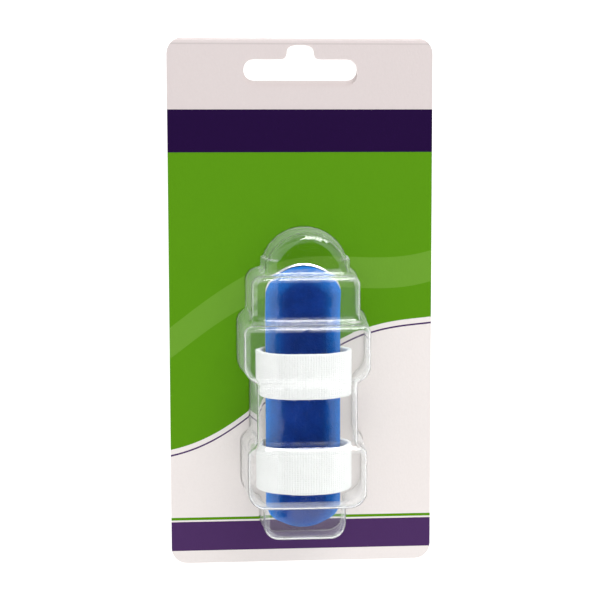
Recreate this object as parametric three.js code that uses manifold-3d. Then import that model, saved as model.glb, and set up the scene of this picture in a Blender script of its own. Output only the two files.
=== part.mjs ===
// A curved finger splint on its blister card, in millimetres, +Z up.
// The card lies on its back. The origin is under the middle of the card, +Y points to the hang slot,
// and the splint's padded side and the clear blister face up.
import * as THREE from "three";
import { mergeVertices } from "three/addons/utils/BufferGeometryUtils.js";
import Module from "manifold-3d";

// Gaps between pieces
const SHEET_GAP = 0.1; // between flat layers
const BOND_GAP = 0.15; // between pieces that are glued or pressed together
const FREE_GAP = 0.3; // between pieces that only touch

// Folded card: two panels glued round the blister's flange, with the fold at the head end
const CARD_WIDTH = 76.2;
const CARD_LENGTH = 152.4;
const PANEL = 0.5;
const CARD_CORNER = 4.5;
const FOLD_DEPTH = 1.75; // from the score line to the fold
const FOLD_ROLL = 1.1; // how far the front rolls back over the fold

// Hang slot, whose lower edge is higher in the rear panel
const SLOT_WIDTH = 32.6;
const SLOT_HEIGHT = 7.5;
const SLOT_END_RADIUS = 3.2;
const SLOT_FROM_HEAD = 13.6; // card's head edge to the slot's lower edge
const PEG_WIDTH = 11.4;
const PEG_TOP_WIDTH = 7.8;
const PEG_HEIGHT = 4.1;
const REAR_SLOT_RISE = 1.5;

// Splint: an aluminium gutter whose tip curls up, lined with foam
const SPLINT_LENGTH = 77.1;
const GUTTER_RADIUS = 14.9; // outside of the metal
const METAL = 0.7;
const METAL_HALF_ANGLE = 46.5;
const FOAM = 4.8;
const FOAM_HALF_ANGLE = 50;
const FOAM_END_INSET = 0.25;
const CURL_RADIUS = 18; // outside of the metal, along the middle
const CURL_ANGLE = 58;
const TIP_ROUND = 7.6; // length of the rounded end, along the metal
const HEEL_ROUND = 8.5;
const TIP_FROM_HEAD = 63.6; // card's head edge to the splint's tip
const SPLINT_OFFSET = -0.15; // the splint's middle, right of the card's

// Hook-and-loop bands, each closed by a lap under the metal
const BAND_WIDTH = 12.7;
const BAND = 1.3;
const LOOP_WIDTH = 27.2; // outside
const LOOP_HEIGHT = 22.55; // outside, without the lap
const LOOP_WAIST = 0.47; // share of the height where the loop is widest
const UPPER_BAND_FROM_TIP = 30.8; // tip to the band's middle
const LOWER_BAND_FROM_HEEL = 19.5;
const LAP_START = -25; // degrees round the loop from the bottom
const LAP_END = 20;
const LAP_RISE_START = 288;
const LAP_RISE_END = 325;

// Hook patches bonded under the metal
const PATCH = 0.55;
const PATCH_LENGTH = 16;
const PATCH_HALF_ANGLE = 27;

// Blister
const WALL = 0.4;
const FLANGE = 0.4;
const FLANGE_WIDTH = 4;
const BLISTER_OFFSET = 0.1; // the blister's middle, right of the card's
const EDGE_RADIUS = 1.6;
const BAY_DRAFT = 0.05;
const FOOT_DRAFT = 0.04;
const LOOP_HEADROOM = 1.6;
const LOOP_SIDEROOM = 0.3;
const SPLINT_HEADROOM = 0.9;
const SPLINT_SIDEROOM = 0.35;
const SHOULDER_STEP = 3.8; // shoulder's front over the head's
const WAIST_STEP = 1.1; // waist's front under the bays'
const UPPER_BAY_FLARE = 3.6; // bay's half width over the waist's
const LOWER_BAY_FLARE = 2.6;
const SHOULDER_FLARE = 1;
const HEAD_WIDTH = 25.2;
const HEAD_OFFSET = 0.8; // the head's middle, right of the blister's
const HEAD_ROOM = 9.7; // tip to the head's end
const SHOULDER_DROP = 1.9; // tip to the shoulder's end, back along the splint
const UPPER_BAY_LEAD = 10.6; // bay's head end before the upper band
const UPPER_BAY_SHORT = 3.5; // upper band's edge past the bay's foot end
const LOWER_BAY_LEAD = 2.1;
const LOWER_BAY_TAIL = 5;
const FOOT_ROOM = 2.8;
const STAGE_OVERLAP = 7; // how far a stage of the blister reaches into the next

// Faceting
const ARC_STEPS = 6;
const EDGE_STEPS = 3;
const GUTTER_STEPS = 12;
const BODY_STEPS = 3;
const CURL_STEPS = 7;
const END_STEPS = 7;
const END_SWEEP = 82; // degrees of the rounded end's outline that are drawn
const LOOP_STEP = 7; // degrees

const radians = THREE.MathUtils.degToRad;

// Places that follow from the sizes
const flangeSlot = FLANGE + 2 * SHEET_GAP;
const cardThickness = 2 * PANEL + flangeSlot;
const tipY = CARD_LENGTH / 2 - TIP_FROM_HEAD;
const heelY = tipY - SPLINT_LENGTH;
const lapRise = BAND + BOND_GAP;
const metalZ = PANEL + FREE_GAP + lapRise + BAND + BOND_GAP + PATCH + BOND_GAP;
const loopBottomZ = PANEL + FREE_GAP + lapRise;
const upperBandY = tipY - UPPER_BAND_FROM_TIP;
const lowerBandY = heelY + LOWER_BAND_FROM_HEEL;
const foamOuterRadius = GUTTER_RADIUS - METAL - BOND_GAP;
const foamInnerRadius = foamOuterRadius - FOAM;

const wasm = await Module();
wasm.setup();

// A closed geometry as a manifold-3d solid
function toSolid(geometry) {
  const bare = geometry.clone();
  bare.deleteAttribute("normal");
  bare.deleteAttribute("uv");
  const merged = mergeVertices(bare, 1e-4);
  return new wasm.Manifold(
    new wasm.Mesh({
      numProp: 3,
      vertProperties: merged.attributes.position.array,
      triVerts: new Uint32Array(merged.index.array),
    }),
  );
}

function toGeometry(solid) {
  const { vertProperties, triVerts } = solid.getMesh();
  const geometry = new THREE.BufferGeometry();
  geometry.setAttribute("position", new THREE.BufferAttribute(vertProperties, 3));
  geometry.setIndex(new THREE.BufferAttribute(triVerts, 1));
  geometry.computeVertexNormals();
  return geometry;
}

function joined(solids) {
  return solids.reduce((all, solid) => all.add(solid));
}

function indexedGeometry(points, index) {
  const geometry = new THREE.BufferGeometry().setFromPoints(points);
  geometry.setIndex(index);
  geometry.computeVertexNormals();
  return geometry;
}

// A closed solid through convex rings of equal point counts, from the lowest ring to the highest
function loft(rings) {
  const count = rings[0].length;
  const last = (rings.length - 1) * count;
  const index = [];
  for (let ring = 0; ring < rings.length - 1; ring++) {
    for (let i = 0; i < count; i++) {
      const a = ring * count + i;
      const b = ring * count + ((i + 1) % count);
      index.push(a, b, b + count, a, b + count, a + count);
    }
  }
  for (let i = 1; i < count - 1; i++) {
    index.push(0, i + 1, i);
    index.push(last, last + i, last + i + 1);
  }
  return indexedGeometry(rings.flat(), index);
}

// A closed solid between two grids of points, of which the front one faces where its rows cross its columns
function sheetBetween(back, front) {
  const rows = back.length;
  const columns = back[0].length;
  const lift = rows * columns;
  const index = [];
  const quad = (a, b, c, d) => index.push(a, b, c, a, c, d);
  for (let i = 0; i < rows - 1; i++) {
    for (let j = 0; j < columns - 1; j++) {
      const a = i * columns + j;
      const b = a + columns;
      quad(lift + a, lift + b, lift + b + 1, lift + a + 1);
      quad(a, a + 1, b + 1, b);
    }
  }
  for (let i = 0; i < rows - 1; i++) {
    const a = i * columns;
    const b = a + columns;
    const far = columns - 1;
    quad(a, b, lift + b, lift + a);
    quad(a + far, lift + a + far, lift + b + far, b + far);
  }
  for (let j = 0; j < columns - 1; j++) {
    const end = (rows - 1) * columns;
    quad(j, lift + j, lift + j + 1, j + 1);
    quad(end + j, end + j + 1, lift + end + j + 1, lift + end + j);
  }
  return indexedGeometry([...back.flat(), ...front.flat()], index);
}

// Corner-rounded outline, counter-clockwise from the right foot corner
function roundedOutline({ left, right, foot, head, footRadius, headRadius }) {
  const corners = [
    { x: right - footRadius, y: foot + footRadius, radius: footRadius, from: -90 },
    { x: right - headRadius, y: head - headRadius, radius: headRadius, from: 0 },
    { x: left + headRadius, y: head - headRadius, radius: headRadius, from: 90 },
    { x: left + footRadius, y: foot + footRadius, radius: footRadius, from: 180 },
  ];
  return corners.flatMap(({ x, y, radius, from }) =>
    Array.from({ length: ARC_STEPS + 1 }, (_, step) => {
      const angle = radians(from + (90 * step) / ARC_STEPS);
      return new THREE.Vector2(x + radius * Math.cos(angle), y + radius * Math.sin(angle));
    }),
  );
}

function plate(outline, bottom, top) {
  const at = (z) => outline.map(({ x, y }) => new THREE.Vector3(x, y, z));
  return toSolid(loft([at(bottom), at(top)]));
}

// Folded card

function hangSlot(lowerRise, bottom, top) {
  const foot = CARD_LENGTH / 2 - SLOT_FROM_HEAD;
  const head = foot + SLOT_HEIGHT;
  const body = roundedOutline({
    left: -SLOT_WIDTH / 2,
    right: SLOT_WIDTH / 2,
    foot: foot + lowerRise,
    head,
    footRadius: Math.min(SLOT_END_RADIUS, (SLOT_HEIGHT - lowerRise) / 2 - SHEET_GAP),
    headRadius: Math.min(SLOT_END_RADIUS, (SLOT_HEIGHT - lowerRise) / 2 - SHEET_GAP),
  });
  const peg = new THREE.Shape();
  peg.moveTo(-PEG_WIDTH / 2, head - SLOT_HEIGHT / 3);
  peg.lineTo(PEG_WIDTH / 2, head - SLOT_HEIGHT / 3);
  peg.lineTo(PEG_WIDTH / 2, head);
  peg.quadraticCurveTo(PEG_TOP_WIDTH / 2, head, PEG_TOP_WIDTH / 2, head + PEG_HEIGHT / 2);
  peg.quadraticCurveTo(PEG_TOP_WIDTH / 2, head + PEG_HEIGHT, 0, head + PEG_HEIGHT);
  peg.quadraticCurveTo(-PEG_TOP_WIDTH / 2, head + PEG_HEIGHT, -PEG_TOP_WIDTH / 2, head + PEG_HEIGHT / 2);
  peg.quadraticCurveTo(-PEG_TOP_WIDTH / 2, head, -PEG_WIDTH / 2, head);
  const pegHole = new THREE.ExtrudeGeometry(peg, {
    depth: top - bottom,
    bevelEnabled: false,
    curveSegments: ARC_STEPS,
  });
  pegHole.translate(0, 0, bottom);
  return plate(body, bottom, top).add(toSolid(pegHole));
}

// What the fold takes off the front panel's edge, as a bar across the card
function foldCut() {
  const score = CARD_LENGTH / 2 - FOLD_DEPTH;
  const edge = CARD_LENGTH / 2;
  const profile = new THREE.Shape();
  profile.moveTo(score, cardThickness);
  profile.quadraticCurveTo(edge, cardThickness, edge, cardThickness - FOLD_ROLL);
  profile.lineTo(edge + FOLD_DEPTH, cardThickness - FOLD_ROLL);
  profile.lineTo(edge + FOLD_DEPTH, cardThickness + FOLD_ROLL);
  profile.lineTo(score, cardThickness + FOLD_ROLL);
  const bar = new THREE.ExtrudeGeometry(profile, {
    depth: 2 * CARD_WIDTH,
    bevelEnabled: false,
    curveSegments: EDGE_STEPS,
  });
  // The profile's x and y become the card's y and z
  bar.applyMatrix4(new THREE.Matrix4().set(0, 0, 1, -CARD_WIDTH, 1, 0, 0, 0, 0, 1, 0, 0, 0, 0, 0, 1));
  return toSolid(bar);
}

function cardGeometry() {
  const sheet = roundedOutline({
    left: -CARD_WIDTH / 2,
    right: CARD_WIDTH / 2,
    foot: -CARD_LENGTH / 2,
    head: CARD_LENGTH / 2,
    footRadius: CARD_CORNER,
    headRadius: CARD_CORNER,
  });
  const rearTop = PANEL;
  const frontBottom = PANEL + flangeSlot;
  const window = joined(
    stages.map((stage) => plate(stageOutline(stage, -FREE_GAP), rearTop, cardThickness + PANEL)),
  );
  const pocket = plate(flangeOutline(FREE_GAP), rearTop, frontBottom);
  const middle = cardThickness / 2;
  return toGeometry(
    plate(sheet, 0, cardThickness)
      .subtract(window)
      .subtract(pocket)
      .subtract(hangSlot(0, middle, cardThickness + PANEL))
      .subtract(hangSlot(REAR_SLOT_RISE, -PANEL, cardThickness))
      .subtract(foldCut()),
  );
}

// Blister: stages of different width and depth, from the head to the foot, joined and hollowed

const waistHalf = LOOP_WIDTH / 2 + BLISTER_OFFSET - SPLINT_OFFSET + LOOP_SIDEROOM + WALL
  + BAY_DRAFT * (loopBottomZ + LOOP_WAIST * LOOP_HEIGHT - cardThickness);
const foamTop = metalZ + GUTTER_RADIUS - foamInnerRadius * Math.cos(radians(FOAM_HALF_ANGLE));
const footHalf = GUTTER_RADIUS * Math.sin(radians(METAL_HALF_ANGLE)) + BLISTER_OFFSET - SPLINT_OFFSET
  + SPLINT_SIDEROOM + WALL + FOOT_DRAFT * (foamTop - cardThickness);
const bayFront = loopBottomZ + LOOP_HEIGHT + LOOP_HEADROOM + WALL;
const footFront = foamTop + SPLINT_HEADROOM + WALL;
const headFront = metalZ + tipRise() + SPLINT_HEADROOM + WALL;
const upperBayHead = upperBandY + BAND_WIDTH / 2 + UPPER_BAY_LEAD;
const upperBayFoot = upperBandY - BAND_WIDTH / 2 + UPPER_BAY_SHORT;
const lowerBayHead = lowerBandY + BAND_WIDTH / 2 + LOWER_BAY_LEAD;
const lowerBayFoot = lowerBandY - BAND_WIDTH / 2 - LOWER_BAY_TAIL;

const stages = [
  {
    name: "head",
    middle: BLISTER_OFFSET + HEAD_OFFSET,
    head: tipY + HEAD_ROOM,
    foot: tipY - STAGE_OVERLAP,
    half: HEAD_WIDTH / 2,
    front: headFront,
    draft: BAY_DRAFT,
    headRadius: HEAD_WIDTH / 2 - SHEET_GAP,
    footRadius: EDGE_RADIUS,
  },
  {
    name: "shoulder",
    middle: BLISTER_OFFSET,
    head: tipY - SHOULDER_DROP,
    foot: upperBayHead - STAGE_OVERLAP,
    half: waistHalf + SHOULDER_FLARE,
    front: headFront + SHOULDER_STEP,
    draft: BAY_DRAFT,
    headRadius: 3.6,
    footRadius: EDGE_RADIUS,
  },
  {
    name: "upper_bay",
    middle: BLISTER_OFFSET,
    head: upperBayHead,
    foot: upperBayFoot,
    half: waistHalf + UPPER_BAY_FLARE,
    front: bayFront,
    draft: BAY_DRAFT,
    headRadius: 3.6,
    footRadius: 6,
  },
  {
    name: "waist",
    middle: BLISTER_OFFSET,
    head: upperBayFoot + STAGE_OVERLAP,
    foot: lowerBayHead - STAGE_OVERLAP,
    half: waistHalf,
    front: bayFront - WAIST_STEP,
    draft: BAY_DRAFT,
    headRadius: EDGE_RADIUS,
    footRadius: EDGE_RADIUS,
  },
  {
    name: "lower_bay",
    middle: BLISTER_OFFSET,
    head: lowerBayHead,
    foot: lowerBayFoot,
    half: waistHalf + LOWER_BAY_FLARE,
    front: bayFront,
    draft: BAY_DRAFT,
    headRadius: 3.6,
    footRadius: 6,
  },
  {
    name: "foot",
    middle: BLISTER_OFFSET,
    head: lowerBayFoot + STAGE_OVERLAP,
    foot: heelY - FOOT_ROOM,
    half: footHalf,
    front: footFront,
    draft: FOOT_DRAFT,
    headRadius: EDGE_RADIUS,
    footRadius: 5,
  },
];

function stageOutline(stage, inset) {
  return roundedOutline({
    left: stage.middle - stage.half + inset,
    right: stage.middle + stage.half - inset,
    foot: stage.foot + inset,
    head: stage.head - inset,
    footRadius: Math.max(stage.footRadius - inset, SHEET_GAP),
    headRadius: Math.max(stage.headRadius - inset, SHEET_GAP),
  });
}

// One stage as a solid whose walls lean in and whose front edge is rounded
function stageSolid(stage, wall, bottom) {
  const radius = EDGE_RADIUS - wall;
  const front = stage.front - wall;
  const lean = (z) => wall + Math.max(z - cardThickness, 0) * stage.draft;
  const ringAt = (z, inset) => stageOutline(stage, inset).map(({ x, y }) => new THREE.Vector3(x, y, z));
  const rings = [ringAt(bottom, lean(bottom)), ringAt(cardThickness, lean(cardThickness))];
  for (let step = 0; step <= EDGE_STEPS; step++) {
    const angle = (Math.PI / 2) * (step / EDGE_STEPS);
    const z = front - radius + radius * Math.sin(angle);
    rings.push(ringAt(z, lean(front - radius) + radius * (1 - Math.cos(angle))));
  }
  return toSolid(loft(rings));
}

function flangeOutline(grow) {
  const reach = FLANGE_WIDTH + grow;
  const widest = Math.max(...stages.map(({ half }) => half));
  return roundedOutline({
    left: BLISTER_OFFSET - widest - reach,
    right: BLISTER_OFFSET + widest + reach,
    foot: stages.at(-1).foot - reach,
    head: stages[0].head + reach,
    footRadius: 3 * FLANGE_WIDTH,
    headRadius: 3 * FLANGE_WIDTH,
  });
}

function blisterGeometry() {
  const flangeBottom = PANEL + SHEET_GAP;
  const outside = joined(stages.map((stage) => stageSolid(stage, 0, flangeBottom)));
  const inside = joined(stages.map((stage) => stageSolid(stage, WALL, flangeBottom - PANEL)));
  const flange = plate(flangeOutline(0), flangeBottom, flangeBottom + FLANGE);
  return toGeometry(outside.add(flange).subtract(inside));
}

// Splint

// Height of the foam's inner edge at the tip, over the underside of the metal
function tipRise() {
  const angle = radians(CURL_ANGLE);
  const foamTop = GUTTER_RADIUS - foamInnerRadius;
  return CURL_RADIUS * (1 - Math.cos(angle)) + foamTop * Math.cos(angle);
}

// The underside's middle line: straight from the heel, then curling up to the tip
function spineAt(distance) {
  const curlLength = CURL_RADIUS * radians(CURL_ANGLE);
  const straight = SPLINT_LENGTH - CURL_RADIUS * Math.sin(radians(CURL_ANGLE));
  const turn = Math.min(Math.max(distance - straight, 0), curlLength) / CURL_RADIUS;
  const y = Math.min(distance, straight) + CURL_RADIUS * Math.sin(turn);
  const z = CURL_RADIUS * (1 - Math.cos(turn));
  return { y, z, turn, straight, total: straight + curlLength };
}

// Stations along the spine with the share of the full width that each has
function splintStations(endInset) {
  const { straight, total } = spineAt(0);
  const heel = HEEL_ROUND;
  const tip = total - TIP_ROUND;
  const stations = [];
  for (let step = END_STEPS; step > 0; step--) {
    const sweep = radians((END_SWEEP * step) / END_STEPS);
    stations.push({ at: heel - (HEEL_ROUND - endInset) * Math.sin(sweep), share: Math.cos(sweep) });
  }
  for (let step = 0; step < BODY_STEPS; step++) {
    stations.push({ at: heel + ((straight - heel) * step) / BODY_STEPS, share: 1 });
  }
  for (let step = 0; step < CURL_STEPS; step++) {
    stations.push({ at: straight + ((tip - straight) * step) / CURL_STEPS, share: 1 });
  }
  for (let step = 0; step <= END_STEPS; step++) {
    const sweep = radians((END_SWEEP * step) / END_STEPS);
    stations.push({ at: tip + (TIP_ROUND - endInset) * Math.sin(sweep), share: Math.cos(sweep) });
  }
  return stations;
}

function gutterGrid(radius, halfAngle, endInset) {
  return splintStations(endInset).map(({ at, share }) => {
    const { y, z, turn } = spineAt(at);
    return Array.from({ length: GUTTER_STEPS + 1 }, (_, step) => {
      const angle = radians(halfAngle * share * ((2 * step) / GUTTER_STEPS - 1));
      const rise = GUTTER_RADIUS - radius * Math.cos(angle);
      return new THREE.Vector3(
        radius * Math.sin(angle),
        y - rise * Math.sin(turn),
        z + rise * Math.cos(turn),
      );
    });
  });
}

function gutterGeometry(outerRadius, innerRadius, halfAngle, endInset) {
  return sheetBetween(
    gutterGrid(innerRadius, halfAngle, endInset),
    gutterGrid(outerRadius, halfAngle, endInset),
  );
}

// Bands and patches

// A point of the loop, at an angle from its bottom, as far out from its middle line as asked
function loopPoint(degrees, outward) {
  const angle = radians(degrees);
  const half = (LOOP_WIDTH - BAND) / 2;
  const waist = LOOP_WAIST * LOOP_HEIGHT;
  const lower = waist - BAND / 2;
  const upper = LOOP_HEIGHT - waist - BAND / 2;
  const depth = Math.cos(angle) > 0 ? lower : upper;
  const normal = new THREE.Vector2(depth * Math.sin(angle), -half * Math.cos(angle)).normalize();
  return new THREE.Vector2(
    half * Math.sin(angle) + outward * normal.x,
    waist - depth * Math.cos(angle) + outward * normal.y,
  );
}

function bandGeometry() {
  const end = 360 + LAP_END;
  const count = Math.ceil((end - LAP_START) / LOOP_STEP);
  const layer = (side) =>
    Array.from({ length: count + 1 }, (_, step) => {
      const degrees = LAP_START + ((end - LAP_START) * step) / count;
      const rise = lapRise * THREE.MathUtils.smoothstep(degrees, LAP_RISE_START, LAP_RISE_END);
      const { x, y } = loopPoint(degrees, rise + (side * BAND) / 2);
      return [
        new THREE.Vector3(x, -BAND_WIDTH / 2, y),
        new THREE.Vector3(x, BAND_WIDTH / 2, y),
      ];
    });
  return sheetBetween(layer(1), layer(-1));
}

function patchGeometry() {
  const inner = GUTTER_RADIUS + BOND_GAP;
  const layer = (radius) =>
    Array.from({ length: GUTTER_STEPS / 2 + 1 }, (_, step) => {
      const angle = radians(PATCH_HALF_ANGLE * ((4 * step) / GUTTER_STEPS - 1));
      const x = radius * Math.sin(angle);
      const z = GUTTER_RADIUS - radius * Math.cos(angle);
      return [new THREE.Vector3(x, -PATCH_LENGTH / 2, z), new THREE.Vector3(x, PATCH_LENGTH / 2, z)];
    });
  return sheetBetween(layer(inner + PATCH), layer(inner));
}

// Finishes
const printedCard = new THREE.MeshStandardMaterial({ color: 0xe9e4e2, roughness: 0.45 });
const clearPlastic = new THREE.MeshStandardMaterial({
  color: 0xf4f7f6,
  roughness: 0.08,
  transparent: true,
  opacity: 0.25,
});
const aluminium = new THREE.MeshStandardMaterial({ color: 0xc9ccd0, roughness: 0.35, metalness: 1 });
const blueFoam = new THREE.MeshStandardMaterial({ color: 0x1f5fc4, roughness: 0.9 });
const whiteLoop = new THREE.MeshStandardMaterial({ color: 0xf3f3ef, roughness: 0.95 });
const whiteHook = new THREE.MeshStandardMaterial({ color: 0xe6e6e2, roughness: 0.8 });

function piece(name, geometry, material) {
  const mesh = new THREE.Mesh(geometry, material);
  mesh.name = name;
  return mesh;
}

const card = piece("card", cardGeometry(), printedCard);
const blister = piece("blister", blisterGeometry(), clearPlastic);

const splint = new THREE.Group();
splint.position.set(SPLINT_OFFSET, heelY, metalZ);
splint.add(
  piece(
    "splint_shell",
    gutterGeometry(GUTTER_RADIUS, GUTTER_RADIUS - METAL, METAL_HALF_ANGLE, 0),
    aluminium,
  ),
  piece(
    "foam_liner",
    gutterGeometry(foamOuterRadius, foamInnerRadius, FOAM_HALF_ANGLE, FOAM_END_INSET),
    blueFoam,
  ),
);

const product = new THREE.Group();
product.add(card, blister, splint);
for (const { name, y } of [
  { name: "upper", y: upperBandY },
  { name: "lower", y: lowerBandY },
]) {
  const band = piece(`${name}_band`, bandGeometry(), whiteLoop);
  band.position.set(SPLINT_OFFSET, y, loopBottomZ);
  const patch = piece(`${name}_hook_patch`, patchGeometry(), whiteHook);
  patch.position.set(SPLINT_OFFSET, y, metalZ);
  product.add(band, patch);
}

export default product;
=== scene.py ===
"""The looks of a curved finger splint, packed in a clear blister on a folded card.

Run as a script in Blender 4.5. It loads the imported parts, builds the metal, foam, bands and
blister in their places, gives every piece its finish, and adds the floor, lights and camera.
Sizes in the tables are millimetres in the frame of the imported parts.
"""

import math

import bpy
import numpy as np
from bpy.props import FloatProperty, FloatVectorProperty, IntProperty, PointerProperty
from bpy.types import Operator, Panel, PropertyGroup
from mathutils import Matrix, Vector, noise


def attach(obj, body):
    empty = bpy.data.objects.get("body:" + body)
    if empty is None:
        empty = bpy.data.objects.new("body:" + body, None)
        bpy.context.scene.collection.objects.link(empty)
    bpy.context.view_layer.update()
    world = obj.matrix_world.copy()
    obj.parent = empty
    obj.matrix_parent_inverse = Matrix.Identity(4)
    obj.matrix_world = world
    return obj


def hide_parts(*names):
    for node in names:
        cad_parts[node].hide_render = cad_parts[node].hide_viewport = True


bl_info = {
    "name": "Finger Splint Pack",
    "version": (1, 0, 0),
    "blender": (4, 5, 0),
    "location": "3D View > Sidebar > Splint",
    "description": "Builds the looks of a finger splint on its blister card",
    "category": "Add Mesh",
}

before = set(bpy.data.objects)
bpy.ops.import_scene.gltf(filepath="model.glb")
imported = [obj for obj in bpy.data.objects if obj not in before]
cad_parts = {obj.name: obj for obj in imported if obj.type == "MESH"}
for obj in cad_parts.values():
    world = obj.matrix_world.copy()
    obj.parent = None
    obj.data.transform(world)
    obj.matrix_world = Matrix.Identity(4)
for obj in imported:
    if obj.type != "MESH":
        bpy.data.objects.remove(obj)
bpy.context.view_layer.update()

MM = 0.001

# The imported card's front face, and the gap between pieces that are glued together
CARD_TOP = 1.6
BOND_GAP = 0.15

# The splint's rounded ends, along the metal, and how far the foam's ends sit back
HEEL_ROUND = 8.5
TIP_ROUND = 7.6
FOAM_END_INSET = 0.25

# How far metal and foam reach round the section, in degrees to each side
METAL_HALF_ANGLE = 46.5
FOAM_HALF_ANGLE = 50

# Mesh steps of the splint: along a rounded end, between the ends, and through the thickness
END_STEPS = 20
LENGTH_STEPS = 84
THICKNESS_STEPS = 6

# How the foam's paler cut colour, which is painted light, fades: over its thickness, and with the
# distance from its rim
CUT_LIGHT_LOSS = 0.55
CUT_LIGHT_REACH = 1.3

# The band's two ends and the rise of its lap, in degrees round the loop from the bottom, and
# where the loop is widest, as a share of its height
BAND_ENDS = (-25, 380)
LAP_RISE = (288, 325)
LOOP_WAIST = 0.47

# Mesh steps of a band: round the loop, and the spacing of its points across
BAND_STEPS = 400
BAND_SPACING = 0.35

# The rounding of a band's edges, the depth of its ribs and how far from the edges they fade, how
# far its edges stray, the height of its fluff, and how its ends get thinner
BAND_ROUND = 0.42
RIB_DEPTH = 0.06
RIB_FADE = 1.2
EDGE_DRIFT = 0.14
FLUFF = 0.03
END_THINNING = 0.35
END_TAPER = 0.5

# Loose fibres on each band, their reach, half their width, and the rim where more of them stand
FIBRES = 1800
FIBRE_REACH = (0.12, 0.34)
FIBRE_HALF_WIDTH = 0.018
FIBRE_RIM = 0.5

# Spacing of the knitted rows along a band, and of the hooks across and along a patch
ROW_SPACING = 0.55
HOOK_SPACING = (0.9, 0.7)

# The blister's stages from the head to the foot. Each has its middle across the card, its foot and
# head along the card, half its width, the height of its front, the lean of its walls, the radii of
# its corners at the head and at the foot, the radius of its front edge, and how far the head end of
# its front sits back.
BLISTER_STAGES = (
    (0.9, 5.6, 22.3, 12.6, 17.16, 0.05, 12.5, 1.6, 2.8, 0.3),
    (0.1, -8.25, 10.7, 16.11, 20.96, 0.05, 3.6, 1.6, 1.6, 0.4),
    (0.1, -21.05, -1.25, 18.71, 26.8, 0.05, 3.6, 6.0, 1.6, 1.4),
    (0.1, -43.55, -14.05, 15.11, 25.7, 0.05, 1.6, 1.6, 1.6, 0.0),
    (0.1, -56.35, -36.55, 17.71, 26.8, 0.05, 3.6, 6.0, 1.6, 0.0),
    (0.1, -67.3, -49.35, 12.28, 14.65, 0.04, 1.6, 5.0, 1.6, 0.0),
)

# Half the width of the widest stage. Fronts with less than NARROW_FRONT are formed flatter.
WIDEST = 18.7
NARROW_FRONT = 14.0
NARROW_SHARE = 0.35

# The flange's top face, the middle and half size of its outline, and the radius of its corners
FLANGE_TOP = 1.0
FLANGE_MIDDLE = (0.1, -22.5)
FLANGE_HALF = (22.7, 48.8)
FLANGE_CORNER = 12
FLANGE_FILLET = 0.5

# The smallest corner radius of a stage, and the block of space that holds the whole blister
LEAST_CORNER = 0.3
BLISTER_LOW = (-24, -73, 0.2)
BLISTER_HIGH = (24, 28, 28)

# Tight bends turn white: where that starts and over what range, as one over a radius, and the
# height under which they stay clear
WHITEN_FROM = 0.3
WHITEN_RANGE = 0.4
WHITEN_HEIGHT = 2

# The printed stripes on the card, as lowest and highest place along the card
UPPER_STRIPE = (43.7, 55.9)
LOWER_LINE = (-63.4, -62.6)
LOWER_STRIPE = (-72.5, -63.9)

# The waved edges across the card: height at the middle, slant, swing, pace and start
FIELD_EDGE = (-21.0, 0.47, 5.0, 0.075, 0.5)
PALE_EDGE = (8.0, 0.36, 6.5, 0.062, 2.2)

# The thin line and the paler band, as distances below those edges, and the paler band's tint
PINSTRIPE = (1.5, 2.0)
PALE_BAND = (0.0, 9.0)
PALE_GREEN = (0.42, 0.62, 0.16, 1)
PALE_SHARE = 0.14

# Where the front panel bends into the fold at the card's head, and where a painted shade line runs
FOLD_CREASE = 74.5

# Soft lamps in metres: name, place, aim, width, height and power in watts, and whether the lamp
# lights matt surfaces or only shows in glossy ones
PANELS = (
    ("front_panel", (0.02, -0.4875, 0.493), (0, -0.04, 0), 0.9, 0.7, 2.8, True),
    ("left_panel", (-0.366, 0.03, 0.42), (0, 0.03, 0), 1.0, 0.9, 2.65, True),
    ("right_panel", (0.383, 0.03, 0.436), (0, 0.03, 0), 0.8, 0.7, 1.5, True),
    ("head_panel", (0.22, 0.64, 0.2), (0, 0, 0), 0.46, 0.28, 4.0, True),
    ("high_panel", (0.1, 0.5, 0.38), (0, 0, 0), 0.3, 0.24, 3.0, False),
)

# The camera's place in metres, where it looks, its upward direction, and half of its picture's
# width against the focal length
CAMERA_PLACE = (-0.0331, 0.04397, 0.43538)
CAMERA_AIM = (0.0751, -0.0982, -0.9923)
CAMERA_UP = (0.0097, 0.9952, -0.0977)
CAMERA_SPREAD = 300 / 1507.5


# Settings


def colour_property(**words):
    """A colour setting of four parts from 0 to 1."""
    return FloatVectorProperty(size=4, min=0, max=1, subtype="COLOR", **words)


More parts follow.
